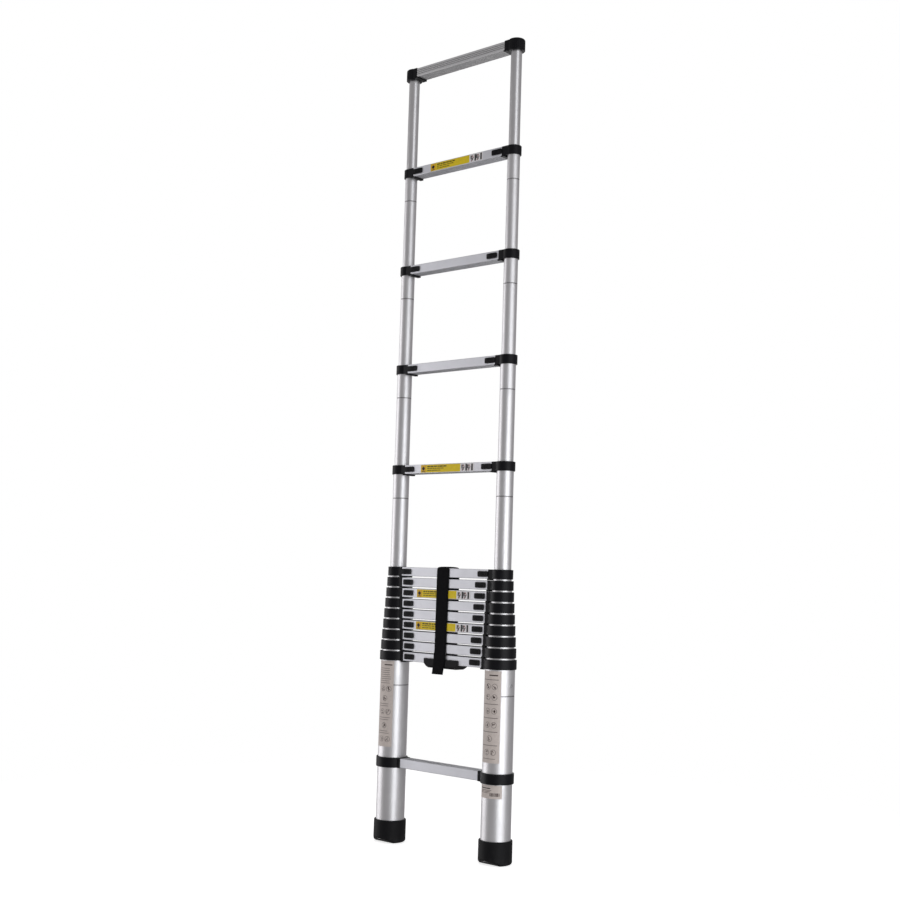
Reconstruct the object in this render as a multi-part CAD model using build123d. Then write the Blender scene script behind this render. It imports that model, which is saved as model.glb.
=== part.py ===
from build123d import *
import os

# Telescopic extension ladder, fourteen nested sections. Millimetres, +Z up along the stiles, X along the rungs.
# The front, with the latch buttons, faces -Y. The origin is at the ground, midway between the two stiles.
# Sections are counted from the top: section 1 is the thinnest, section 14 stands on the feet.

os.makedirs("parts", exist_ok=True)

# ---------------------------------------------------------------- driving dimensions
SECTIONS = 14
LAST_EXTENDED = 5           # sections 1 to 5 stand at full height, 6 to 13 are pushed down into section 14
STILE_X = 198.0             # distance of each stile's axis from the middle plane
RUNG_PITCH = 295.0          # rung spacing of extended sections
STACK_PITCH = 30.2          # rung spacing of collapsed sections
BASE_COLLAR_Z = 527.4       # centre of section 14's collar above the ground
BOTTOM_RUNG_Z = 225.7
TOP_RUNG_LIFT = 9.0         # the top rung sits this much above the regular pitch

BASE_RADIUS = 41.0          # outer radius of the widest tube
RADIUS_STEP = 1.95          # each tube is this much smaller in radius than the one around it
TUBE_WALL = 1.5
TUBE_TOP = 10.0             # tube end above its collar's centre, under the collar's lip
TUBE_OVERLAP = 80.0         # inner tube left below the collar's centre when extended
GROOVE_DROP = 83.0          # crimped ring below each collar's centre
GROOVE_DEPTH = 0.5
GROOVE_WIDTH = 2.4

RUNG_DEPTH = 40.6
RUNG_HEIGHT = 25.6
RUNG_WALL = 1.8
RUNG_CORNER = 1.5
TREAD_GROOVES = 7
TREAD_PITCH = 5.2
TREAD_GROOVE_WIDTH = 2.0
TREAD_GROOVE_DEPTH = 0.6

COLLAR_HALF = 13.0
COLLAR_WALL = 3.8
COLLAR_CHAMFER = 0.8
BLOCK_HALF_WIDTH = 20.8     # half depth of the block that holds the rung's end
BLOCK_REACH = 9.0           # rung end beyond the tube's surface
FLANGE_REACH = 3.0          # ledge under the rung's end
FLANGE_THICKNESS = 3.8
INSERT_DEPTH = 5.0          # collar's tongue inside the hollow rung
FIT_GAP = 0.1               # between pieces of one section
SLIDE_GAP = 0.3             # between pieces that slide past each other

CAP_RADIUS = 24.0
CAP_HALF = 17.0
CAP_DROP = 0.7              # cap's centre below the top rung's centre
CAP_ROUNDING = 5.0
CAP_REACH = 12.0
CAP_RIBS = 26
CAP_RIB_RADIUS = 1.1

CLAMP_HALF = 14.0
CLAMP_WALL = 4.3
CLAMP_REACH = 11.0

BUTTON_LENGTH = 36.0
BUTTON_HEIGHT = 15.0
BUTTON_PLATE = 2.2
BUTTON_CORNER = 3.0
BUTTON_RIDGES = 5
BUTTON_RIDGE_PITCH = 4.2
BUTTON_RIDGE_WIDTH = 1.8
BUTTON_RIDGE_RISE = 0.9
LATCH_TRAVEL = 6.0
LATCH_SPARE = 1.5           # further travel past the drawn-back place
LATCH_STEM = (16.0, 7.0)
CARRIAGE = (28.0, 25.0, 16.0)
PIN_RADIUS = 5.0
PIN_NOSE_CUT = 1.65         # the pin's nose stops this far inside the outer tube's surface
SPRING_RADIUS = 4.0
SPRING_BORE = 3.0
SPRING_LENGTH = 22.0

FOOT_RADIUS = 46.0
FOOT_TOP = 63.0
FOOT_FLOOR = 10.0
FOOT_EDGE = 7.0
TOE_START = -20.0           # the sole is flat behind this line and slopes up to the toe in front of it
TOE_SLOPE = 27.0
SOLE_GROOVES = 5
SOLE_GROOVE_WIDTH = 3.0
SOLE_GROOVE_DEPTH = 2.0

HANDLE_HALF = 63.5
HANDLE_WALL = 3.3
HANDLE_GRIP = 12.5          # grip below the rung
HANDLE_TAPER = 13.0
HANDLE_TOP = 0.5            # skirt's edge above the rung's centre

STRAP_WIDTH = 45.0
STRAP_CENTRE_X = -1.5
STRAP_THICKNESS = 1.5
STRAP_BEND = 3.0
STRAP_TAIL_Z = 486.0
STRAP_BACK_END_Z = 500.0

RIVET_DROP = 55.0
RIVET_HEAD_RADIUS = 4.5
RIVET_SHANK_RADIUS = 2.3
RIVET_HEAD_RISE = 1.6

# drawn-back latches: everything in the stack, and the right-hand one on rung 3
DRAWN_BACK = {(n, side) for n in range(LAST_EXTENDED + 2, SECTIONS + 1) for side in (-1, 1)} | {(3, 1)}
SIDES = {-1: "left", 1: "right"}

BOTTOM_UP = (Align.CENTER, Align.CENTER, Align.MIN)


# ---------------------------------------------------------------- derived places
def tube_radius(n):
    return BASE_RADIUS - (SECTIONS - n) * RADIUS_STEP


def rung_z(n):
    z = BASE_COLLAR_Z
    for k in range(SECTIONS - 1, n - 1, -1):
        z += RUNG_PITCH if k <= LAST_EXTENDED else STACK_PITCH
    return z + (TOP_RUNG_LIFT if n == 1 else 0.0)


def lock_hole_z(n):
    """Height of the hole in section n that the next section's latch pin drops into."""
    lift = TOP_RUNG_LIFT if n == 1 else 0.0
    return rung_z(n) - RUNG_PITCH - lift


def rung_reach(n):
    return tube_radius(n) + (CAP_REACH if n == 1 else BLOCK_REACH)


def at_stile(side, z, shape):
    """Stand a shape that points to +X at a stile, turned so that it points to the rung."""
    turn = 180 if side > 0 else 0
    return Pos(side * STILE_X, 0, z) * Rot(0, 0, turn) * shape


def along_x(radius, length):
    return Rot(0, 90, 0) * Cylinder(radius, length, align=BOTTOM_UP)


# ---------------------------------------------------------------- tubes and rungs
def tube(n):
    """One stile tube of section n, with its rung side towards +X and z counted from the rung's centre."""
    radius = tube_radius(n)
    top = CAP_HALF - CAP_DROP - CAP_ROUNDING if n == 1 else TUBE_TOP
    bottom = lock_hole_z(n) - rung_z(n) - TUBE_OVERLAP
    if n == SECTIONS:
        bottom = FOOT_FLOOR - rung_z(n)
    length = top - bottom
    body = Pos(0, 0, bottom) * Cylinder(radius, length, align=BOTTOM_UP)
    body -= Pos(0, 0, bottom - 1) * Cylinder(radius - TUBE_WALL, length + 2, align=BOTTOM_UP)
    hole = along_x(PIN_RADIUS + 2 * SLIDE_GAP, radius + 2)
    if n < SECTIONS:
        body -= Pos(0, 0, lock_hole_z(n) - rung_z(n)) * hole
    if n > 1:
        body -= hole
        groove = Cylinder(radius + 1, GROOVE_WIDTH) - Cylinder(radius - GROOVE_DEPTH, GROOVE_WIDTH)
        body -= Pos(0, 0, -GROOVE_DROP) * groove
    return body


def rung_profile(ridged_faces):
    outline = RectangleRounded(RUNG_DEPTH, RUNG_HEIGHT, RUNG_CORNER)
    outline -= RectangleRounded(RUNG_DEPTH - 2 * RUNG_WALL, RUNG_HEIGHT - 2 * RUNG_WALL, RUNG_CORNER / 2)
    for i in range(TREAD_GROOVES):
        y = (i - (TREAD_GROOVES - 1) / 2) * TREAD_PITCH
        for face in (-1, 1):
            z = face * RUNG_HEIGHT / 2
            outline -= Pos(y, z) * Rectangle(TREAD_GROOVE_WIDTH, 2 * TREAD_GROOVE_DEPTH)
    if ridged_faces:
        for i in (-1, 0, 1):
            for face in (-1, 1):
                outline -= Pos(face * RUNG_DEPTH / 2, i * TREAD_PITCH) * Rectangle(2 * TREAD_GROOVE_DEPTH, 1.4)
    return outline


def rung(reach, ridged_faces=False):
    half = STILE_X - reach
    return extrude(Plane.YZ * rung_profile(ridged_faces), amount=half, both=True)


def latch_slots(n):
    """Openings in the rung's front wall that the latch stems travel in."""
    end = STILE_X - rung_reach(n)
    inner = latch_centre(n) - LATCH_STEM[0] / 2 - LATCH_TRAVEL - LATCH_SPARE - 0.5
    outer = latch_centre(n) + LATCH_STEM[0] / 2 + 0.5
    slot = Box(outer - inner, 3 * RUNG_WALL, LATCH_STEM[1] + 1.0)
    assert outer < end
    middle = (inner + outer) / 2
    return [Pos(side * middle, -RUNG_DEPTH / 2, 0) * slot for side in SIDES]


def section(n):
    parts = [at_stile(side, rung_z(n), tube(n)) for side in SIDES]
    bar = rung(rung_reach(n), ridged_faces=(n == 1))
    if n > 1:
        for slot in latch_slots(n):
            bar -= slot
    parts.append(Pos(0, 0, rung_z(n)) * bar)
    if n == SECTIONS:
        reach = STILE_X + BASE_RADIUS - 2 * TUBE_WALL
        for i, side in enumerate(SIDES):
            hole = Rot(0, 0, 0 if side > 0 else 180) * along_x(RIVET_SHANK_RADIUS + FIT_GAP / 2, 10)
            parts[i] -= Pos(side * reach, 0, rung_z(n) - RIVET_DROP) * hole
    return parts


# ---------------------------------------------------------------- collars, caps, clamps
def ring_and_block(radius, reach, half_height):
    outline = Circle(radius) + Pos(reach / 2, 0) * Rectangle(reach, 2 * BLOCK_HALF_WIDTH)
    body = Pos(0, 0, -half_height) * extrude(outline, amount=2 * half_height)
    ends = body.faces().sort_by(Axis.Z)
    return chamfer(ends[0].edges() + ends[-1].edges(), COLLAR_CHAMFER)


def ledge(radius, reach):
    """Ledge under the rung's end."""
    start = radius + 1.0
    length = reach + FLANGE_REACH - start
    z = -(RUNG_HEIGHT + FLANGE_THICKNESS) / 2
    return Pos(start + length / 2, 0, z) * Box(length, 2 * BLOCK_HALF_WIDTH, FLANGE_THICKNESS)


def insert(reach):
    depth = RUNG_DEPTH - 2 * RUNG_WALL - 2 * FIT_GAP
    height = RUNG_HEIGHT - 2 * RUNG_WALL - 2 * FIT_GAP
    return Pos(reach, 0, 0) * extrude(Plane.YZ * RectangleRounded(depth, height, RUNG_CORNER), amount=INSERT_DEPTH)


def collar(n):
    radius = tube_radius(n)
    reach = rung_reach(n)
    body = ring_and_block(radius + COLLAR_WALL, reach, COLLAR_HALF)
    body += ledge(radius, reach)
    body += insert(reach)
    below_lip = COLLAR_HALF + TUBE_TOP
    body -= Pos(0, 0, -COLLAR_HALF) * Cylinder(radius + FIT_GAP / 2, below_lip, align=BOTTOM_UP)
    body -= Cylinder(tube_radius(n - 1) + SLIDE_GAP, 4 * COLLAR_HALF)
    body -= along_x(PIN_RADIUS + SLIDE_GAP, reach + 2 * INSERT_DEPTH)
    return body


def end_cap():
    radius = tube_radius(1)
    reach = rung_reach(1)
    dome = Cylinder(CAP_RADIUS, 2 * CAP_HALF)
    top = dome.edges().filter_by(GeomType.CIRCLE).sort_by(Axis.Z)
    dome = fillet(top[-1], CAP_ROUNDING)
    bottom = dome.edges().filter_by(GeomType.CIRCLE).sort_by(Axis.Z)
    dome = chamfer(bottom[0], 2 * COLLAR_CHAMFER)
    body = Pos(0, 0, -CAP_DROP) * dome
    rib_height = 2 * (CAP_HALF - CAP_ROUNDING)
    for i in range(CAP_RIBS):
        angle = 360 * i / CAP_RIBS
        groove = Rot(0, 0, angle) * Pos(CAP_RADIUS + CAP_RIB_RADIUS / 3, 0, -CAP_DROP)
        body -= groove * Cylinder(CAP_RIB_RADIUS, rib_height)
    block_top = RUNG_HEIGHT / 2 + 1.4
    block = Pos(reach / 2, 0, block_top) * Box(reach, 2 * BLOCK_HALF_WIDTH, 2 * block_top,
                                               align=(Align.CENTER, Align.CENTER, Align.MAX))
    body += block
    body += ledge(radius, reach)
    body += insert(reach)
    depth = 2 * CAP_HALF - CAP_ROUNDING
    body -= Pos(0, 0, -CAP_HALF - CAP_DROP) * Cylinder(radius + FIT_GAP / 2, depth, align=BOTTOM_UP)
    return body


def tube_plug(n):
    """Guide bush in the lower end of tube n, running in the tube around it."""
    end = lock_hole_z(n) - rung_z(n) - TUBE_OVERLAP
    inner = tube_radius(n) - TUBE_WALL
    flange = Cylinder(tube_radius(n) + SLIDE_GAP / 2, 4.0, align=(Align.CENTER, Align.CENTER, Align.MAX))
    sleeve = Cylinder(inner - FIT_GAP, 14.0, align=BOTTOM_UP)
    return Pos(0, 0, end) * (flange + sleeve - Cylinder(inner - 3.0, 40.0))


def collars(n):
    parts = []
    for side in SIDES:
        parts.append(at_stile(side, rung_z(n), end_cap() if n == 1 else collar(n)))
        if n < SECTIONS:
            parts.append(at_stile(side, rung_z(n), tube_plug(n)))
    return parts


def bottom_clamp():
    reach = BASE_RADIUS + CLAMP_REACH
    body = ring_and_block(BASE_RADIUS + CLAMP_WALL, reach, CLAMP_HALF)
    body += insert(reach)
    return body - Cylinder(BASE_RADIUS + FIT_GAP / 2, 4 * CLAMP_HALF)


# ---------------------------------------------------------------- latches
def latch_centre(n):
    """Distance of the button's middle from the ladder's middle plane, when locked."""
    return STILE_X - rung_reach(n) - 0.5 - BUTTON_LENGTH / 2


def latch(n, side):
    """Slide button with its carriage, the lock pin and the spring, pointing out to the stile."""
    front = -RUNG_DEPTH / 2 - SLIDE_GAP
    plate = extrude(Plane.XZ * RectangleRounded(BUTTON_LENGTH, BUTTON_HEIGHT, BUTTON_CORNER), amount=BUTTON_PLATE)
    button = Pos(0, front, 0) * plate
    for i in range(BUTTON_RIDGES):
        x = (i - (BUTTON_RIDGES - 1) / 2) * BUTTON_RIDGE_PITCH
        y = front - BUTTON_PLATE - BUTTON_RIDGE_RISE / 2
        button += Pos(x, y, 0) * Box(BUTTON_RIDGE_WIDTH, BUTTON_RIDGE_RISE, BUTTON_HEIGHT - 4.0)
    back = -RUNG_DEPTH / 2 + RUNG_WALL + SLIDE_GAP + 0.2
    stem_depth = back - front + 1.0
    button += Pos(0, front + stem_depth / 2, 0) * Box(LATCH_STEM[0], stem_depth, LATCH_STEM[1])
    carriage_shift = 6.5 + CARRIAGE[0] / 2 - BUTTON_LENGTH / 2 - 0.5
    button += Pos(-carriage_shift, back + CARRIAGE[1] / 2, 0) * Box(*CARRIAGE)
    pin_start = -carriage_shift + CARRIAGE[0] / 2
    nose = STILE_X - latch_centre(n) - tube_radius(n) + PIN_NOSE_CUT
    pin = Pos(pin_start, 0, 0) * along_x(PIN_RADIUS, nose - pin_start)
    coil = along_x(SPRING_RADIUS, SPRING_LENGTH) - along_x(SPRING_BORE, SPRING_LENGTH)
    spring = Pos(pin_start - CARRIAGE[0] - SPRING_LENGTH, 0, 0) * coil
    x = latch_centre(n) - (LATCH_TRAVEL if (n, side) in DRAWN_BACK else 0.0)
    parts = [Pos(x, 0, rung_z(n)) * piece for piece in (button, pin, spring)]
    if side < 0:
        parts = [mirror(piece, about=Plane.YZ) for piece in parts]
    return parts


# ---------------------------------------------------------------- base, handle, strap
def foot(side):
    shell = Cylinder(FOOT_RADIUS, FOOT_TOP, align=BOTTOM_UP)
    width = 2 * FOOT_RADIUS + 10
    below_toe = Box(width, width, width, align=(Align.CENTER, Align.MAX, Align.MAX))
    shell -= Pos(0, TOE_START, 0) * Rot(-TOE_SLOPE, 0, 0) * below_toe
    rim = [edge for edge in shell.edges() if edge.geom_type != GeomType.LINE and edge.center().Z < FOOT_TOP / 2]
    shell = fillet(rim, FOOT_EDGE)
    shell = fillet(shell.edges().filter_by(GeomType.CIRCLE).sort_by(Axis.Z)[-1], 2.0)
    shell -= Pos(0, 0, FOOT_FLOOR) * Cylinder(BASE_RADIUS + FIT_GAP / 2, FOOT_TOP, align=BOTTOM_UP)
    for i in range(SOLE_GROOVES):
        y = TOE_START + 9.0 + 9.5 * i
        shell -= Pos(0, y, 0) * Box(width, SOLE_GROOVE_WIDTH, 2 * SOLE_GROOVE_DEPTH)
    return Pos(side * STILE_X, 0, 0) * shell


def carry_handle():
    top = HANDLE_TOP
    low = -RUNG_HEIGHT / 2 - HANDLE_GRIP
    shoulder = low + HANDLE_TAPER
    outline = Polyline((-HANDLE_HALF, top), (-HANDLE_HALF, shoulder), (-HANDLE_HALF + HANDLE_TAPER, low),
                       (HANDLE_HALF - HANDLE_TAPER, low), (HANDLE_HALF, shoulder), (HANDLE_HALF, top), close=True)
    side_view = make_face(Plane.XZ * outline)
    block = extrude(side_view, amount=RUNG_DEPTH, both=True)
    half_depth = RUNG_DEPTH / 2 + HANDLE_WALL
    section_box = Pos(0, (top + low) / 2) * Rectangle(2 * half_depth, top - low)
    section_box = fillet(section_box.vertices().group_by(Axis.Y)[0], 9.0)
    channel = Rectangle(RUNG_DEPTH, RUNG_HEIGHT)
    band = extrude(Plane.YZ * (section_box - channel), amount=2 * HANDLE_HALF, both=True)
    return Pos(0, 0, rung_z(SECTIONS)) * (block & band)


def strap():
    """Webbing that hangs over rung 6 and down both faces of the stack."""
    half = STRAP_THICKNESS / 2
    near = RUNG_DEPTH / 2 + 0.55 + half
    wide = RUNG_DEPTH / 2 + HANDLE_WALL + 0.4 + half
    crest = rung_z(LAST_EXTENDED + 1) + RUNG_HEIGHT / 2 + SLIDE_GAP + half
    bulge_low = rung_z(SECTIONS) + 8.0
    bulge_high = bulge_low + 25.0
    line = FilletPolyline((-wide, STRAP_TAIL_Z), (-wide, bulge_low), (-near, bulge_high), (-near, crest),
                          (near, crest), (near, bulge_high), (wide, bulge_low), (wide, STRAP_BACK_END_Z),
                          radius=STRAP_BEND)
    section_face = trace(line, line_width=STRAP_THICKNESS)
    band = extrude(Plane.YZ * section_face, amount=STRAP_WIDTH / 2, both=True)
    return Pos(STRAP_CENTRE_X, 0, 0) * band


def tube_rivet(side):
    """Blind rivet on the outer side of a section 14 tube."""
    shank = Pos(BASE_RADIUS - TUBE_WALL, 0, 0) * along_x(RIVET_SHANK_RADIUS, TUBE_WALL + 0.6)
    head = Pos(BASE_RADIUS - 0.5, 0, 0) * along_x(RIVET_HEAD_RADIUS, RIVET_HEAD_RISE + 0.5)
    crown = head.edges().filter_by(GeomType.CIRCLE).sort_by(Axis.X)[-1]
    head = fillet(crown, 1.2)
    head -= Cylinder(BASE_RADIUS, 30)
    body = head + shank
    turn = 0 if side > 0 else 180
    return Pos(side * STILE_X, 0, rung_z(SECTIONS) - RIVET_DROP) * Rot(0, 0, turn) * body


# ---------------------------------------------------------------- write the nodes
def write_node(name, shapes):
    solids = [solid for shape in shapes for solid in shape.solids()]
    export_step(Compound(solids), f"parts/{name}.step")


def build():
    for n in range(1, SECTIONS + 1):
        write_node(f"section_{n:02d}_tubes_and_rung", section(n))
        write_node(f"section_{n:02d}_{'end_caps' if n == 1 else 'collars'}", collars(n))
    for n in range(2, SECTIONS + 1):
        for side, name in SIDES.items():
            write_node(f"latch_{n:02d}_{name}", latch(n, side))
    write_node("bottom_rung", [Pos(0, 0, BOTTOM_RUNG_Z) * rung(BASE_RADIUS + CLAMP_REACH)])
    write_node("bottom_rung_clamps", [at_stile(side, BOTTOM_RUNG_Z, bottom_clamp()) for side in SIDES])
    write_node("rubber_feet", [foot(side) for side in SIDES])
    write_node("carry_handle", [carry_handle()])
    write_node("strap", [strap()])
    write_node("tube_rivets", [tube_rivet(side) for side in SIDES])


build()
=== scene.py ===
"""Telescopic ladder: materials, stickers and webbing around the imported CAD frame.

Metres, in the frame's own axes: X along the rungs, -Y the front, Z up.
"""
import math
import random

import bmesh
import bpy
from mathutils import Matrix, Vector


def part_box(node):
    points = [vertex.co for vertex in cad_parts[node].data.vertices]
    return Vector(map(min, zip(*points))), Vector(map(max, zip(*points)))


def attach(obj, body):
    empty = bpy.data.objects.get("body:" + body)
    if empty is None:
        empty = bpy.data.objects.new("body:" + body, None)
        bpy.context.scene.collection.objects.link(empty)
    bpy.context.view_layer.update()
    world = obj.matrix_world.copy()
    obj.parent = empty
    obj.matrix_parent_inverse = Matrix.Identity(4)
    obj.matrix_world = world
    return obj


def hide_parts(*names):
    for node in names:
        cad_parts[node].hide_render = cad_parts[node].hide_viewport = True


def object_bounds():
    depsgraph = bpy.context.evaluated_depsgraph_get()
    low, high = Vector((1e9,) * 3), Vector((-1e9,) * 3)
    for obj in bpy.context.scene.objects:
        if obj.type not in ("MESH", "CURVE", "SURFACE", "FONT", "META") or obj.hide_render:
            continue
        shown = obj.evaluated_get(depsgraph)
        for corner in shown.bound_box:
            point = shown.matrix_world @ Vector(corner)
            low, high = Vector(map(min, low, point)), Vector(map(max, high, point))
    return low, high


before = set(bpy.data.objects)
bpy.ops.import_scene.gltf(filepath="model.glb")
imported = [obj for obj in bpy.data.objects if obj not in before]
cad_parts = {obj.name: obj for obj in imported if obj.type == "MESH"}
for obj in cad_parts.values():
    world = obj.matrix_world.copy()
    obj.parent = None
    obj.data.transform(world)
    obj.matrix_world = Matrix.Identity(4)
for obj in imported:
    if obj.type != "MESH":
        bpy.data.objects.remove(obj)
cad_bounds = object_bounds()

MM = 0.001
SECTIONS = 14
TOP_STACKED = 6                 # the highest section of the collapsed stack
GROOVE_DROP = 83 * MM           # crimped ring below each latched collar's centre
NO_GROOVE = -1.0                # a height that no part of the ladder has
SMOOTH_ANGLE = math.radians(28)  # edges that turn more than this stay sharp

# ---------------------------------------------------------------- places, read from the frame
base_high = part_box("section_14_tubes_and_rung")[1]
BASE_RADIUS = base_high.y
STILE_X = base_high.x - BASE_RADIUS
thin_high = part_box("section_01_tubes_and_rung")[1]
RADIUS_STEP = (BASE_RADIUS - (thin_high.x - STILE_X)) / (SECTIONS - 1)
rung_low, rung_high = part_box("bottom_rung")
RUNG_FRONT = rung_low.y
RUNG_HEIGHT = rung_high.z - rung_low.z
CLAMP_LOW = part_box("bottom_rung_clamps")[0].z
strap_low, strap_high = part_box("strap")
handle_low, handle_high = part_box("carry_handle")


def section_name(n):
    return f"section_{n:02d}"


def tube_radius(n):
    return BASE_RADIUS - (SECTIONS - n) * RADIUS_STEP


def rung_z(n):
    low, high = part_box(f"latch_{n:02d}_left")
    return (low.z + high.z) / 2


# ---------------------------------------------------------------- node helpers
class Nodes:
    """Short calls for building a material's node tree."""

    def __init__(self, name):
        self.material = bpy.data.materials.new(name)
        self.material.use_nodes = True
        self.tree = self.material.node_tree
        self.shader = self.tree.nodes["Principled BSDF"]

    def add(self, kind, inputs=None, **settings):
        node = self.tree.nodes.new(kind)
        for key, value in settings.items():
            setattr(node, key, value)
        for key, value in (inputs or {}).items():
            if isinstance(value, bpy.types.NodeSocket):
                self.tree.links.new(value, node.inputs[key])
            else:
                node.inputs[key].default_value = value
        return node

    def math(self, operation, a, b=0.0):
        return self.add("ShaderNodeMath", {0: a, 1: b}, operation=operation).outputs[0]

    def position(self):
        return self.add("ShaderNodeTexCoord").outputs["Object"]

    def scaled(self, vector, scale):
        return self.add("ShaderNodeMapping", {"Vector": vector, "Scale": scale}).outputs[0]

    def noise(self, vector, scale, detail=3.0, roughness=0.5):
        inputs = {"Vector": vector, "Scale": scale, "Detail": detail, "Roughness": roughness}
        return self.add("ShaderNodeTexNoise", inputs).outputs["Fac"]

    def span(self, value, low, high, from_low=0.0, from_high=1.0):
        """Value from_low becomes low and from_high becomes high, clamped outside that stretch."""
        inputs = {
            "Value": value,
            "From Min": from_low,
            "From Max": from_high,
            "To Min": low,
            "To Max": high,
        }
        return self.add("ShaderNodeMapRange", inputs).outputs[0]

    def blend(self, factor, a, b):
        """Color a where the factor is 0 and b where it is 1."""
        node = self.add("ShaderNodeMix", data_type="RGBA")
        for socket, value in ((node.inputs[0], factor), (node.inputs[6], a), (node.inputs[7], b)):
            if isinstance(value, bpy.types.NodeSocket):
                self.tree.links.new(value, socket)
            elif socket is node.inputs[0]:
                socket.default_value = value
            else:
                socket.default_value = (*value, 1.0)
        return node.outputs[2]

    def bump(self, height, distance, strength=1.0, normal=None):
        inputs = {"Height": height, "Distance": distance, "Strength": strength}
        if normal is not None:
            inputs["Normal"] = normal
        return self.add("ShaderNodeBump", inputs).outputs[0]

    def edge(self, radius, sharpest=0.75):
        """1 on rounded-off edges, 0 on flat stretches, and the softened normal."""
        soft = self.add("ShaderNodeBevel", {"Radius": radius}, samples=4).outputs[0]
        flat = self.add("ShaderNodeNewGeometry").outputs["Normal"]
        compare = self.add("ShaderNodeVectorMath", {0: soft, 1: flat}, operation="DOT_PRODUCT")
        return self.span(compare.outputs["Value"], 1.0, 0.0, sharpest, 0.995), soft

    def set(self, **sockets):
        """Fill the shader's sockets, named with _ for each space, and give back the material."""
        for key, value in sockets.items():
            socket = self.shader.inputs[key.replace("_", " ")]
            if isinstance(value, bpy.types.NodeSocket):
                self.tree.links.new(value, socket)
            elif socket.type == "RGBA":
                socket.default_value = (*value, 1.0)
            else:
                socket.default_value = value
        return self.material


# ---------------------------------------------------------------- materials
TUBE_TONE = (0.80, 0.795, 0.81)
RUNG_TONE = (0.80, 0.81, 0.855)
RIDGED_RUNG_TONE = (0.74, 0.74, 0.745)
CLOUD_TONE = (0.60, 0.605, 0.63)
LINE_TONE = (0.90, 0.905, 0.93)
# near-black of the painted shade along rounded aluminium edges
EDGE_SHADE_TONE = (0.10, 0.10, 0.11)
# near-black of the painted shade in crevices, between stacked rungs and in the crimped groove
PAINTED_SHADE_TONE = (0.045, 0.044, 0.046)


def satin_aluminium(name, tube_reach, phase, groove_z=NO_GROOVE, ridged=False):
    """Anodised extrusion: lines along Z within tube_reach of a stile's axis, along X on the rungs.

    phase shifts the marks along Z, so that no two sections look alike; groove_z is the crimped ring, whose
    shade is painted as a thin dark line.
    """
    n = Nodes(name)
    place = n.add("ShaderNodeMapping", {"Vector": n.position(), "Location": (0, 0, phase)}).outputs[0]
    split = n.add("ShaderNodeSeparateXYZ", {"Vector": n.position()})
    off_axis = n.math("SUBTRACT", n.math("ABSOLUTE", split.outputs["X"]), STILE_X)
    squared = n.math("ADD", n.math("POWER", off_axis, 2.0), n.math("POWER", split.outputs["Y"], 2.0))
    on_tube = n.math("LESS_THAN", n.math("SQRT", squared), tube_reach)

    tube_lines = n.noise(n.scaled(place, (1500, 1500, 9)), 1.0, 4.0, 0.6)
    rung_lines = n.noise(n.scaled(place, (7, 1700, 1700)), 1.0, 4.0, 0.6)
    lines = n.add("ShaderNodeMix", {0: on_tube, 2: rung_lines, 3: tube_lines}).outputs[0]
    cloud = n.noise(place, 14.0, 3.0, 0.55)
    handling = n.noise(place, 46.0, 5.0, 0.65)

    base = n.blend(on_tube, RIDGED_RUNG_TONE if ridged else RUNG_TONE, TUBE_TONE)
    shade = n.blend(n.span(cloud, 0.0, 0.18, 0.35, 0.7), base, CLOUD_TONE)
    color = n.blend(n.span(lines, 0.0, 0.25, 0.45, 0.75), shade, LINE_TONE)
    polish = 0.11 if ridged else 0.0      # the thinnest tubes are shinier
    tube_gloss = n.span(lines, 0.385 - polish, 0.465 - polish, 0.3, 0.7)
    rung_gloss = n.span(lines, 0.46, 0.57, 0.3, 0.7)
    gloss = n.add("ShaderNodeMix", {0: on_tube, 2: rung_gloss, 3: tube_gloss}).outputs[0]
    smudge = n.span(handling, 0.0, 0.08, 0.48, 0.75)
    edge, soft = n.edge(0.0014, 0.93)
    # painted shade: darkens the rounded edges into thin dark lines, such as along the rungs' top and bottom
    shaded_edge = n.blend(n.math("MULTIPLY", edge, 0.8), color, EDGE_SHADE_TONE)

    # painted shade: ambient occlusion darkens crevices and the gaps between stacked rungs to a near-black
    # tone, more weakly on the tubes
    hidden = n.add("ShaderNodeAmbientOcclusion", {"Distance": 0.009}, samples=6).outputs["AO"]
    crevice_shade = n.math("MULTIPLY", n.span(hidden, 0.95, 0.0, 0.2, 0.85), n.span(on_tube, 1.0, 0.15))
    # painted shade: a thin dark line at groove_z stands in for the shade inside the crimped groove
    from_groove = n.math("ABSOLUTE", n.math("SUBTRACT", split.outputs["Z"], groove_z))
    groove_shade = n.span(from_groove, 0.62, 0.0, 0.0004, 0.0015)
    dark = n.math("MAXIMUM", crevice_shade, groove_shade)
    return n.set(
        Base_Color=n.blend(dark, shaded_edge, PAINTED_SHADE_TONE),
        Metallic=0.9,
        Roughness=n.math("ADD", gloss, smudge),
        Normal=n.bump(lines, 0.00002, 0.5, soft),
    )


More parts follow.
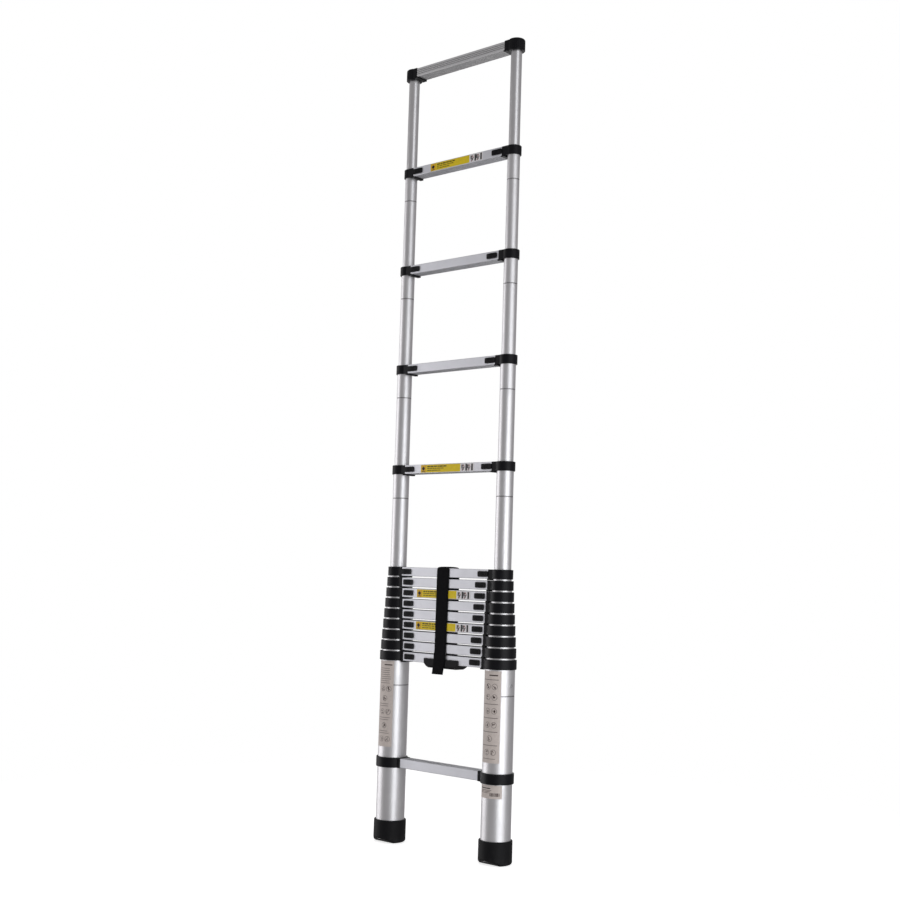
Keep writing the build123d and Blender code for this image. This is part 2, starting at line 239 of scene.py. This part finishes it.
def moulded_plastic(name, color, roughness, grain=0.00003, grain_size=1900.0, edge_wear_and_highlight=0.25):
    """Fine-grained black moulding; its edges are lighter, partly from rubbing and partly as a painted
    highlight.
    """
    n = Nodes(name)
    place = n.position()
    pores = n.noise(place, grain_size, 2.0, 0.6)
    cloud = n.noise(place, 32.0, 4.0, 0.6)
    scuffs = n.noise(n.scaled(place, (60, 60, 260)), 1.0, 5.0, 0.7)
    edge, soft = n.edge(0.0007)
    lighter = tuple(2.6 * c + 0.006 for c in color)
    body = n.blend(n.span(cloud, 0.0, 0.5, 0.35, 0.75), color, tuple(1.5 * c for c in color))
    scuffed = n.blend(n.span(scuffs, 0.0, 0.55, 0.62, 0.8), body, lighter)
    # lighter edges: partly rubbed wear, partly a painted edge highlight
    worn_and_highlit = n.blend(n.math("MULTIPLY", edge, edge_wear_and_highlight), scuffed, (0.09, 0.09, 0.095))
    patches = n.span(cloud, roughness - 0.05, roughness + 0.06, 0.3, 0.7)
    gloss = n.math("ADD", patches, n.span(pores, -0.04, 0.04))
    normal = n.bump(pores, grain, 0.6, soft)
    return n.set(Base_Color=worn_and_highlit, Roughness=gloss, Normal=normal, Specular_IOR_Level=0.17)


def foot_rubber(name):
    """Moulded rubber, dustier towards the sole: most of the dust is within sole_band of the ground."""
    sole_band = 0.022
    n = Nodes(name)
    place = n.position()
    height = n.add("ShaderNodeSeparateXYZ", {"Vector": place}).outputs["Z"]
    pores = n.noise(place, 1300.0, 3.0, 0.65)
    dust = n.noise(n.scaled(place, (90, 90, 50)), 1.0, 5.0, 0.7)
    low = n.span(height, 1.0, 0.0, 0.0, sole_band)
    specks = n.span(dust, 0.0, 1.0, 0.4, 0.75)
    most = n.math("ADD", n.math("MULTIPLY", low, 0.22), 0.03)
    amount = n.math("MULTIPLY", specks, most)
    edge, soft = n.edge(0.0009)
    color = n.blend(amount, (0.0045, 0.0045, 0.0058), (0.12, 0.115, 0.11))
    # lighter edges: partly wear, partly a painted edge highlight
    worn_and_highlit = n.blend(n.math("MULTIPLY", edge, 0.12), color, (0.08, 0.08, 0.085))
    gloss = n.math("ADD", n.span(pores, 0.52, 0.62, 0.3, 0.7), n.math("MULTIPLY", amount, 0.5))
    normal = n.bump(pores, 0.00005, 0.7, soft)
    return n.set(Base_Color=worn_and_highlit, Roughness=gloss, Normal=normal, Specular_IOR_Level=0.2)


def webbing(name):
    """Black woven hook-and-loop tape. UV: u across and v along the tape, in metres."""
    n = Nodes(name)
    uv = n.add("ShaderNodeUVMap").outputs[0]
    split = n.add("ShaderNodeSeparateXYZ", {"Vector": uv})
    warp_pitch = 0.0016
    weft_pitch = 0.0012
    across = n.math("SINE", n.math("MULTIPLY", split.outputs["X"], 2 * math.pi / warp_pitch))
    along = n.math("SINE", n.math("MULTIPLY", split.outputs["Y"], 2 * math.pi / weft_pitch))
    weave = n.math("MULTIPLY", across, along)
    fuzz = n.noise(uv, 2600.0, 4.0, 0.7)
    cloud = n.noise(uv, 45.0, 4.0, 0.6)
    height = n.math("ADD", weave, n.math("MULTIPLY", fuzz, 1.6))
    tone = n.blend(n.span(fuzz, 0.0, 0.8, 0.45, 0.85), (0.0028, 0.0028, 0.0036), (0.018, 0.018, 0.022))
    color = n.blend(n.span(cloud, 0.0, 0.35, 0.4, 0.75), tone, (0.012, 0.012, 0.014))
    return n.set(
        Base_Color=color,
        Roughness=n.span(fuzz, 0.78, 0.96),
        Normal=n.bump(height, 0.00012, 0.8),
        Sheen_Weight=0.02,
        Sheen_Roughness=0.4,
        Specular_IOR_Level=0.10,
    )


def printed_vinyl(name, color, second, roughness=0.38):
    """Sticker film, with print mottle and a faint orange-peel surface."""
    n = Nodes(name)
    place = n.position()
    mottle = n.noise(place, 160.0, 5.0, 0.65)
    peel = n.noise(place, 900.0, 2.0, 0.5)
    tone = n.blend(n.span(mottle, 0.0, 1.0, 0.35, 0.72), color, second)
    return n.set(
        Base_Color=tone,
        Roughness=n.span(mottle, roughness - 0.05, roughness + 0.12, 0.3, 0.7),
        Normal=n.bump(peel, 0.00002, 0.4),
        Specular_IOR_Level=0.3,
    )


def rivet_metal(name):
    """Bare steel with fine marks."""
    n = Nodes(name)
    place = n.position()
    marks = n.noise(place, 800.0, 4.0, 0.6)
    soft = n.edge(0.0004)[1]
    tone = n.blend(n.span(marks, 0.0, 0.5, 0.4, 0.7), (0.66, 0.66, 0.68), (0.42, 0.42, 0.44))
    return n.set(
        Base_Color=tone,
        Metallic=1.0,
        Roughness=n.span(marks, 0.26, 0.42),
        Normal=n.bump(marks, 0.00003, 0.4, soft),
    )


def paint_cad_nodes():
    """Give every CAD node its finish, and smooth the shading of its curved faces."""
    collar = moulded_plastic("collar_plastic", (0.0050, 0.0050, 0.0068), 0.40)
    button = moulded_plastic("latch_plastic", (0.0042, 0.0042, 0.0055), 0.42, edge_wear_and_highlight=0.35)
    grip = moulded_plastic("handle_plastic", (0.0040, 0.0042, 0.0055), 0.46, grain=0.00006)
    finishes = {
        "collars": collar,
        "end_caps": collar,
        "bottom_rung_clamps": collar,
        "latch": button,
        "carry_handle": grip,
        "rubber_feet": foot_rubber("foot_rubber"),
        "tube_rivets": rivet_metal("rivet_steel"),
        "bottom_rung": satin_aluminium("bottom_rung_aluminium", 0.0, 0.37),
    }
    for n in range(1, SECTIONS + 1):
        section = section_name(n)
        reach = tube_radius(n) + 4 * MM
        groove_z = rung_z(n) - GROOVE_DROP if n > 1 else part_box("section_01_end_caps")[0].z
        metal = satin_aluminium(f"{section}_aluminium", reach, 0.61 * n, groove_z, ridged=n == 1)
        finishes[f"{section}_tubes"] = metal
    for name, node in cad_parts.items():
        key = max((k for k in finishes if k in name), key=len, default=None)
        if key is None:                 # the strap, which strap_piece() replaces
            continue
        node.data.materials.clear()
        node.data.materials.append(finishes[key])
        node.data.shade_smooth()
        node.data.set_sharp_from_angle(angle=SMOOTH_ANGLE)


# ---------------------------------------------------------------- meshes
def new_piece(name, bm, materials, body):
    """Turn a bmesh into a visible object that rides a body."""
    mesh = bpy.data.meshes.new(name)
    bmesh.ops.recalc_face_normals(bm, faces=bm.faces)
    bm.to_mesh(mesh)
    bm.free()
    for material in materials:
        mesh.materials.append(material)
    piece = bpy.data.objects.new(name, mesh)
    bpy.context.scene.collection.objects.link(piece)
    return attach(piece, body)


def slab(bm, outline, surface, lift, material):
    """A thin closed plate: outline in the sticker's own (u, v), placed by surface(u, v, lift).

    lift is the plate's lower and upper distance from the surface, and material its slot number.
    """
    lower = [bm.verts.new(surface(u, v, lift[0])) for u, v in outline]
    upper = [bm.verts.new(surface(u, v, lift[1])) for u, v in outline]
    count = len(outline)
    faces = [bm.faces.new(lower), bm.faces.new(upper)]
    for i in range(count):
        j = (i + 1) % count
        faces.append(bm.faces.new((lower[i], lower[j], upper[j], upper[i])))
    for face in faces:
        face.material_index = material


def bar(bm, corners, surface, lift, material, step=1.4 * MM):
    """A rectangular plate cut into narrow strips, so that it can follow a round tube."""
    u0, v0, u1, v1 = corners
    count = max(1, math.ceil((u1 - u0) / step))
    columns = []
    for i in range(count + 1):
        u = u0 + (u1 - u0) * i / count
        profile = ((v0, lift[0]), (v1, lift[0]), (v1, lift[1]), (v0, lift[1]))
        columns.append([bm.verts.new(surface(u, v, up)) for v, up in profile])
    faces = [bm.faces.new(columns[0]), bm.faces.new(columns[-1])]
    for near, far in zip(columns, columns[1:]):
        for i in range(4):
            j = (i + 1) % 4
            faces.append(bm.faces.new((near[i], near[j], far[j], far[i])))
    for face in faces:
        face.material_index = material


def ring(bm, u, v, inner, outer, surface, lift, material, sides=22):
    """A flat ring that follows the surface."""
    loops = []
    for i in range(sides):
        angle = 2 * math.pi * i / sides
        profile = ((inner, lift[0]), (outer, lift[0]), (outer, lift[1]), (inner, lift[1]))
        loop = []
        for r, up in profile:
            place = surface(u + r * math.cos(angle), v + r * math.sin(angle), up)
            loop.append(bm.verts.new(place))
        loops.append(loop)
    for i in range(sides):
        near, far = loops[i], loops[(i + 1) % sides]
        for j in range(4):
            k = (j + 1) % 4
            face = bm.faces.new((near[j], near[k], far[k], far[j]))
            face.material_index = material


def disc(u, v, radius, sides=14):
    """The outline of a regular polygon; four sides make a square on its point."""
    outline = []
    for i in range(sides):
        angle = 2 * math.pi * i / sides
        outline.append((u + radius * math.cos(angle), v + radius * math.sin(angle)))
    return outline


# ---------------------------------------------------------------- stickers
# Lower and upper face of a sticker's film, of its print, and of print on top of print.
BASE_LIFT = (0.04 * MM, 0.14 * MM)
PRINT_LIFT = (0.15 * MM, 0.18 * MM)
TOP_PRINT_LIFT = (0.19 * MM, 0.21 * MM)


def print_materials():
    """The stickers' films and inks: main tone, second tone of the mottle, roughness."""
    return {
        "yellow": printed_vinyl("sticker_yellow", (0.92, 0.70, 0.014), (0.80, 0.59, 0.014)),
        "amber": printed_vinyl("sticker_amber", (0.86, 0.52, 0.020), (0.76, 0.45, 0.020)),
        "olive": printed_vinyl("sticker_olive", (0.055, 0.035, 0.008), (0.11, 0.075, 0.010)),
        "white": printed_vinyl("sticker_white", (0.92, 0.905, 0.91), (0.85, 0.83, 0.84)),
        "black": printed_vinyl("sticker_black", (0.012, 0.011, 0.012), (0.03, 0.025, 0.025)),
        "rose": printed_vinyl("sticker_rose", (0.42, 0.27, 0.26), (0.30, 0.18, 0.18)),
        "film": printed_vinyl("sticker_film", (0.73, 0.655, 0.61), (0.64, 0.57, 0.53), 0.45),
        "faint": printed_vinyl("sticker_faint", (0.11, 0.085, 0.08), (0.20, 0.16, 0.15), 0.45),
        "umber": printed_vinyl("sticker_umber", (0.022, 0.012, 0.011), (0.06, 0.032, 0.028), 0.45),
    }


RUNG_INKS = ["yellow", "amber", "olive", "white", "black", "rose"]
BAR_ROWS = (4.2, -0.8, -6.4)            # the rows' lower edges, in mm from the rung's middle
MARK_STARTS = (4.5, 26.0)               # two alike marks in the white field, in mm from its left end
MARK_BLOCKS = (                         # u0, v0, u1, v1 in mm and the ink, from the mark's start
    (0.0, -3.0, 4.2, 8.0, "black"),
    (2.0, -9.5, 6.0, -4.0, "rose"),
    (5.2, -6.5, 8.6, 1.4, "black"),
    (9.4, -1.5, 12.0, 3.0, "rose"),
    (15.0, -9.5, 20.8, 9.5, "black"),
)


def rung_sticker(n, inks):
    """Yellow strip with plain bars and a white field of abstract blocks, on a rung's front face."""
    index = {name: i for i, name in enumerate(RUNG_INKS)}
    centre = rung_z(n)
    left, middle, right = -101 * MM, 50 * MM, 101.5 * MM
    half = 11.0 * MM
    margin = 1 * MM
    bm = bmesh.new()

    def surface(u, v, lift):
        return (u, RUNG_FRONT - lift, centre + v)

    def block(u0, v0, u1, v1, ink, lift=PRINT_LIFT):
        bar(bm, (u0, v0, u1, v1), surface, lift, index[ink], step=20 * MM)

    block(left, -half, middle, half, "yellow", BASE_LIFT)
    block(middle, -half, right, half, "white", BASE_LIFT)
    block(left + margin, -half + margin, left + 20 * MM, half - margin, "amber")
    slab(bm, disc(left + 10 * MM, 0.5 * MM, 6.4 * MM, 4), surface, TOP_PRINT_LIFT, index["black"])
    block(left + 4 * MM, -8.4 * MM, left + 16 * MM, -6.6 * MM, "black", TOP_PRINT_LIFT)
    rng = random.Random(n)
    for row, v in enumerate(BAR_ROWS):
        u = left + 25 * MM
        stop = (-12 - 8 * row) * MM     # each row ends a little before the one above it
        while u < stop:
            length = rng.uniform(5, 13) * MM
            height = (3.4 if row == 0 else 2.2) * MM
            block(u, v * MM, u + length, v * MM + height, "olive")
            u += length + rng.uniform(1.4, 2.6) * MM
    for start in MARK_STARTS:
        u = middle + start * MM
        slab(bm, disc(u + 7 * MM, 5.4 * MM, 2.8 * MM), surface, PRINT_LIFT, index["rose"])
        for u0, v0, u1, v1, ink in MARK_BLOCKS:
            block(u + u0 * MM, v0 * MM, u + u1 * MM, v1 * MM, ink)
    new_piece(f"sticker_rung_{n:02d}", bm, [inks[k] for k in RUNG_INKS], section_name(n))


SHEET_INKS = ["film", "faint", "umber"]
FILM, FAINT, UMBER, BLACK = 0, 1, 2, 3  # material slots; only the data plate has the fourth
SHEET_LENGTH = 243.0 * MM
# Rows of the instruction sheets, from the top: a thin bar, a rule across, one badge or two.
ROW_HEIGHTS = {"line": 5.4, "rule": 7.5, "one": 24.0, "two": 25.0}
LEFT_ROWS = ["line"] * 8 + ["two", "one", "line", "line", "two", "line", "line", "one", "line", "line", "two"]
RIGHT_ROWS = ["rule", "two", "two", "rule", "two", "rule", "two", "rule", "one", "rule", "two", "line"]
BADGE_CENTRES = {"one": (3,), "two": (-5, 15)}      # mm from the tube's front line


def tube_surface(side, facing):
    """Maps (arc length, height) to the widest tube's outer face.

    side is -1 for the left-hand tube and 1 for the right-hand one; facing is the angle from the front to +X.
    """
    def surface(u, v, lift):
        angle = facing + u / BASE_RADIUS
        r = BASE_RADIUS + lift
        return (side * STILE_X + r * math.sin(angle), -r * math.cos(angle), v)

    return surface


def badge(bm, surface, u, v, rng):
    """A thin round ring with a few plain strokes in it."""
    ring(bm, u, v, 7.0 * MM, 8.0 * MM, surface, PRINT_LIFT, FAINT)
    ink = rng.choice((FAINT, UMBER, UMBER))
    for _ in range(5):
        x = u + rng.uniform(-5.2, 1.6) * MM
        z = v + rng.uniform(-5.2, 1.6) * MM
        wide = rng.uniform(1.6, 3.6) * MM
        high = rng.uniform(1.8, 4.2) * MM
        bar(bm, (x, z, x + wide, z + high), surface, TOP_PRINT_LIFT, ink)


def tube_sticker(side, name, rows, inks):
    """Beige film on the front of a widest tube, with rows of thin bars and ringed marks."""
    surface = tube_surface(side, 0.0)
    edge = (29.0 if side < 0 else 33.0) * MM
    top = rung_z(SECTIONS) - (15.0 if side < 0 else 16.5) * MM
    bottom = top - SHEET_LENGTH
    line_half = 0.6 * MM
    bm = bmesh.new()
    bar(bm, (-29 * MM, bottom, edge, top), surface, BASE_LIFT, FILM)
    bar(bm, (-2 * MM, top - 13 * MM, 24 * MM, top - 10 * MM), surface, PRINT_LIFT, UMBER)
    rng = random.Random(40 + side)
    v = top - 19 * MM
    unit = (v - bottom - 8 * MM) / sum(ROW_HEIGHTS[kind] for kind in rows)
    for kind in rows:
        pitch = ROW_HEIGHTS[kind] * unit
        middle = v - pitch / 2
        low, high = middle - line_half, middle + line_half
        if kind == "line":
            reach = rng.uniform(14, 24) * MM
            bar(bm, (-20 * MM, low, reach, high), surface, PRINT_LIFT, FAINT)
        elif kind == "rule":
            bar(bm, (-26 * MM, low, edge - 7 * MM, high), surface, PRINT_LIFT, UMBER)
        else:
            for centre in BADGE_CENTRES[kind]:
                badge(bm, surface, centre * MM, middle, rng)
        v -= pitch
    new_piece(name, bm, [inks[k] for k in SHEET_INKS], section_name(SECTIONS))


def data_sticker(inks):
    """Small plate sticker with short bars and a row of upright ones, under the right-hand clamp."""
    surface = tube_surface(1, math.radians(8))
    top = CLAMP_LOW - 1.5 * MM
    bottom = top - 35 * MM
    half = 37 * MM
    bm = bmesh.new()
    bar(bm, (-half, bottom, half, top), surface, BASE_LIFT, FILM)
    bar(bm, (-30 * MM, top - 9.5 * MM, 5 * MM, top - 7 * MM), surface, PRINT_LIFT, BLACK)
    for row in range(3):
        high = top - (13 + 3.4 * row) * MM
        bar(bm, (-30 * MM, high - 1.1 * MM, (8 - 4 * row) * MM, high), surface, PRINT_LIFT, UMBER)
    low, high = bottom + 6 * MM, bottom + 15 * MM
    rng = random.Random(9)
    u = 3 * MM
    while u < 31 * MM:
        width = rng.choice((0.7, 1.1, 1.9)) * MM
        bar(bm, (u, low, u + width, high), surface, PRINT_LIFT, UMBER)
        u += width + rng.choice((0.6, 0.9, 1.5)) * MM
    materials = [inks[k] for k in SHEET_INKS + ["black"]]
    new_piece("sticker_data_right", bm, materials, section_name(SECTIONS))


# ---------------------------------------------------------------- strap
WEBBING_WIDTH = 45 * MM         # flat width, which the UV map is laid out on
HALF_WIDTH = 22.4 * MM          # half the width as worn
THICKNESS = 1.9 * MM
OFF_RUNG = 1.225 * MM           # from the rungs' faces to the webbing's middle line
OFF_HANDLE = 0.85 * MM          # the same from the handle's face
CREST = 3.25 * MM               # the line's rise over rung 6: rung 5 can still come down on the stack
FOLD = 6 * MM                   # height of the rounded part that lies over rung 6
FOLD_PINCH = 4.5 * MM           # lost from the half width at the crest
PINCH_REACH = 9 * MM            # how far below the crest that starts
OVER_HANDLE = 4 * MM            # the webbing clears the handle from this far above it
HANDLE_LEAD = 26 * MM           # length over which it leans out to do so
RIPPLE = 0.28 * MM
CROWN = 0.3 * MM                # the webbing's middle stands this far out from its edges
SIDE_DRIFT = 10 * MM            # to the left, for each metre of fall at the front
TAPER = 7 * MM                  # lost from the half width, for each metre of fall
TAIL_DRIFT = 5 * MM             # to the left, from the handle down to the front tail's end
BACK_TAIL_RISE = 14 * MM        # the back tail ends this far above the front one
DROP_STEPS = 40
FOLD_STEPS = 24
STRAP_COLUMNS = 12


def strap_line():
    """The webbing's middle line in (y, z), from the front tail over rung 6 and down the back."""
    near = -RUNG_FRONT + OFF_RUNG
    wide = -handle_low.y + OFF_HANDLE
    rung_top = rung_z(TOP_STACKED) + RUNG_HEIGHT / 2
    crest = rung_top + CREST
    over_handle = handle_high.z + OVER_HANDLE
    points = []

    def drop(sign, end):
        for i in range(DROP_STEPS + 1):
            z = crest - FOLD + (end - crest + FOLD) * i / DROP_STEPS
            t = min(max((over_handle + HANDLE_LEAD - z) / HANDLE_LEAD, 0.0), 1.0)
            lean = t * t * (3 - 2 * t)
            ripple = RIPPLE * math.sin(z * 210 + sign) * math.sin(z * 57)
            points.append((sign * (near + (wide - near) * lean + abs(ripple)), z))

    drop(-1, strap_low.z)
    points.reverse()
    for i in range(1, FOLD_STEPS):
        angle = math.pi * i / FOLD_STEPS
        y = -near * math.cos(angle)
        z = crest - FOLD + FOLD * (math.sin(angle) ** 0.35)
        points.append((y, z))
    drop(1, strap_low.z + BACK_TAIL_RISE)
    return points


def strap_spread(front, z, crest):
    """The webbing's sideways drift and its half width at height z."""
    fall = max(0.0, strap_high.z - z) if front else 0.0
    drift = -SIDE_DRIFT * fall
    if front and z < handle_high.z:
        below_handle = (handle_high.z - z) / (handle_high.z - strap_low.z)
        drift -= TAIL_DRIFT * below_handle ** 1.3
    near_fold = min(max(1 - (crest - z) / PINCH_REACH, 0.0), 1.0)
    half = HALF_WIDTH - TAPER * fall - FOLD_PINCH * near_fold ** 2
    return drift, half


def strap_rows(bm, line):
    """Rows of vertices across the webbing, each with its distance along it.

    In a row the inner and outer vertices take turns.
    """
    centre = (strap_low.x + strap_high.x) / 2
    crest = max(z for y, z in line)
    total = 0.0
    rows = []
    for i, (y, z) in enumerate(line):
        if i:
            total += math.dist(line[i - 1], line[i])
        ahead = line[min(i + 1, len(line) - 1)]
        behind = line[max(i - 1, 0)]
        along = Vector((ahead[0] - behind[0], ahead[1] - behind[1])).normalized()
        outward = Vector((-along.y, along.x))
        drift, half = strap_spread(y < 0, z, crest)
        row = []
        for c in range(STRAP_COLUMNS + 1):
            s = 2 * c / STRAP_COLUMNS - 1
            crown = CROWN * (1 - s * s)
            edge = THICKNESS * (0.5 - 0.12 * s ** 8)
            x = centre + drift + s * half
            for layer in (-1, 1):
                shift = crown + layer * edge
                row.append(bm.verts.new((x, y + outward.x * shift, z + outward.y * shift)))
        rows.append((row, total))
    return rows


def strap_faces(bm, uv_layer, rows):
    """Close the webbing: its two broad faces, its long edges and its ends. UV in metres along the cloth."""
    def face(corners, uvs):
        made = bm.faces.new(corners)
        made.smooth = True
        for loop, uv in zip(made.loops, uvs):
            loop[uv_layer].uv = uv

    column = WEBBING_WIDTH / STRAP_COLUMNS
    for (row_a, length_a), (row_b, length_b) in zip(rows, rows[1:]):
        for c in range(STRAP_COLUMNS):
            u0, u1 = c * column, (c + 1) * column
            uvs = ((u0, length_a), (u1, length_a), (u1, length_b), (u0, length_b))
            for layer in (0, 1):
                k, m = 2 * c + layer, 2 * (c + 1) + layer
                face((row_a[k], row_a[m], row_b[m], row_b[k]), uvs)
        for k in (0, 2 * STRAP_COLUMNS):
            uvs = ((0, length_a), (THICKNESS, length_a), (THICKNESS, length_b), (0, length_b))
            face((row_a[k], row_a[k + 1], row_b[k + 1], row_b[k]), uvs)
    for row, length in (rows[0], rows[-1]):
        for c in range(STRAP_COLUMNS):
            u0, u1 = c * column, (c + 1) * column
            uvs = ((u0, length), (u1, length), (u1, length + THICKNESS), (u0, length + THICKNESS))
            face((row[2 * c], row[2 * c + 2], row[2 * c + 3], row[2 * c + 1]), uvs)


def strap_piece():
    """The strap as soft webbing, in place of the CAD strap."""
    bm = bmesh.new()
    uv_layer = bm.loops.layers.uv.new("UVMap")
    rows = strap_rows(bm, strap_line())
    strap_faces(bm, uv_layer, rows)
    piece = new_piece("strap_webbing", bm, [webbing("webbing")], section_name(TOP_STACKED))
    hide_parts("strap")


# ---------------------------------------------------------------- studio
CAMERA_AZIMUTH = math.radians(42.17)    # from the front towards +X
CAMERA_DISTANCE = 3.875
CAMERA_HEIGHT = 0.774
CAMERA_YAW = math.radians(0.10)
CAMERA_PITCH = math.radians(5.05)
CAMERA_ROLL = math.radians(1.75)
CAMERA_LENS = 54.8
FLOOR_RADIUS = 1.8
FLOOR_DROP = 0.0005                     # keeps the floor clear of the soles
FLOOR_GLOW = 0.72
BACKDROP = (1.0, 1.0, 1.0, 1.0)         # what the camera sees behind the ladder
AMBIENT = (0.265, 0.258, 0.26, 1.0)     # what lights the ladder from all round
COOL = (0.965, 0.98, 1.0)               # tints of the lights
PINK = (1.0, 0.985, 1.0)
TOP_BOX_HEIGHT = 4.6


def studio_camera():
    """A camera at the photo's standpoint, held a little off level as the photo's was."""
    turn = CAMERA_AZIMUTH + CAMERA_YAW
    flat = math.cos(CAMERA_PITCH)
    forward = Vector((-math.sin(turn) * flat, math.cos(turn) * flat, math.sin(CAMERA_PITCH)))
    level = Vector((math.cos(turn), math.sin(turn), 0))
    lift = level.cross(forward)
    right = math.cos(CAMERA_ROLL) * level + math.sin(CAMERA_ROLL) * lift
    up = -math.sin(CAMERA_ROLL) * level + math.cos(CAMERA_ROLL) * lift
    data = bpy.data.cameras.new("studio_camera")
    data.lens = CAMERA_LENS
    camera = bpy.data.objects.new("studio_camera", data)
    place = Vector((math.sin(CAMERA_AZIMUTH), -math.cos(CAMERA_AZIMUTH), 0)) * CAMERA_DISTANCE
    place.z = CAMERA_HEIGHT
    camera.matrix_world = Matrix.Translation(place) @ Matrix((right, up, -forward)).transposed().to_4x4()
    bpy.context.scene.collection.objects.link(camera)
    bpy.context.scene.camera = camera


def soft_box(name, bearing, distance, width, height, centre_z, power, tint=(1, 1, 1)):
    """An area light aimed level at the ladder.

    bearing is in degrees from the camera's side of the ladder, rising towards the picture's right.
    """
    angle = CAMERA_AZIMUTH + math.radians(bearing)
    data = bpy.data.lights.new(name, "AREA")
    data.shape = "RECTANGLE"
    data.size = width
    data.size_y = height
    data.energy = power
    data.color = tint
    light = bpy.data.objects.new(name, data)
    place = Vector((math.sin(angle) * distance, -math.cos(angle) * distance, centre_z))
    light.location = place
    light.rotation_euler = (Vector((0, 0, centre_z)) - place).to_track_quat("-Z", "Y").to_euler()
    light.visible_camera = False
    bpy.context.scene.collection.objects.link(light)


def studio_floor():
    """A pale round floor that glows a little and fades out into the backdrop."""
    n = Nodes("studio_floor")
    speckle = n.noise(n.position(), 3.0, 3.0, 0.5)
    n.set(Base_Color=n.blend(speckle, (0.86, 0.86, 0.865), (0.89, 0.89, 0.892)), Roughness=0.9)
    n.set(Emission_Color=(1.0, 1.0, 1.0), Emission_Strength=FLOOR_GLOW)
    away = n.add("ShaderNodeVectorMath", {0: n.position()}, operation="LENGTH").outputs["Value"]
    n.set(Alpha=n.span(away, 1.0, 0.0, 0.5 * FLOOR_RADIUS, FLOOR_RADIUS))
    bm = bmesh.new()
    bmesh.ops.create_circle(bm, cap_ends=True, radius=FLOOR_RADIUS, segments=96)
    mesh = bpy.data.meshes.new("studio_floor")
    bm.to_mesh(mesh)
    bm.free()
    mesh.materials.append(n.material)
    floor = bpy.data.objects.new("studio_floor", mesh)
    floor.location.z = cad_bounds[0][2] - FLOOR_DROP
    floor.visible_glossy = False
    floor.visible_diffuse = False
    floor.visible_shadow = False
    bpy.context.scene.collection.objects.link(floor)


def studio_world():
    """White where the camera looks at it, and dimmer as a source of light."""
    world = bpy.data.worlds.new("studio_world")
    world.use_nodes = True
    tree = world.node_tree
    ray = tree.nodes.new("ShaderNodeLightPath")
    mix = tree.nodes.new("ShaderNodeMix")
    mix.data_type = "RGBA"
    mix.inputs[6].default_value = AMBIENT
    mix.inputs[7].default_value = BACKDROP
    tree.links.new(ray.outputs["Is Camera Ray"], mix.inputs[0])
    tree.links.new(mix.outputs[2], tree.nodes["Background"].inputs["Color"])
    bpy.context.scene.world = world


def top_box():
    """A square light over the ladder, shining straight down."""
    data = bpy.data.lights.new("top_box", "AREA")
    data.size = 3.0
    data.energy = 20
    light = bpy.data.objects.new("top_box", data)
    light.location = (0, 0, TOP_BOX_HEIGHT)
    light.visible_camera = False
    bpy.context.scene.collection.objects.link(light)


def studio():
    """Camera, floor, backdrop and lights."""
    studio_camera()
    studio_floor()
    studio_world()
    soft_box("key_box", bearing=28, distance=3.0, width=2.0, height=2.2, centre_z=0.4, power=30, tint=COOL)
    soft_box("high_box", bearing=28, distance=3.0, width=2.0, height=2.2, centre_z=2.6, power=13, tint=COOL)
    soft_box("wing_box", bearing=54, distance=3.0, width=0.9, height=3.4, centre_z=1.0, power=9)
    # the upper rungs mirror the rim box, so its height sets how bright they are
    soft_box(
        "rim_box", bearing=-108, distance=3.0, width=2.6, height=3.4, centre_z=0.9, power=37.6, tint=PINK
    )
    soft_box("fill_box", bearing=170, distance=3.4, width=1.0, height=3.0, centre_z=1.2, power=10)
    top_box()
    bpy.context.scene.view_settings.view_transform = "Standard"


# ---------------------------------------------------------------- build
studio()
paint_cad_nodes()
inks = print_materials()
for n in (2, 5, 8, 11):
    rung_sticker(n, inks)
tube_sticker(-1, "sticker_tube_left", LEFT_ROWS, inks)
tube_sticker(1, "sticker_tube_right", RIGHT_ROWS, inks)
data_sticker(inks)
strap_piece()

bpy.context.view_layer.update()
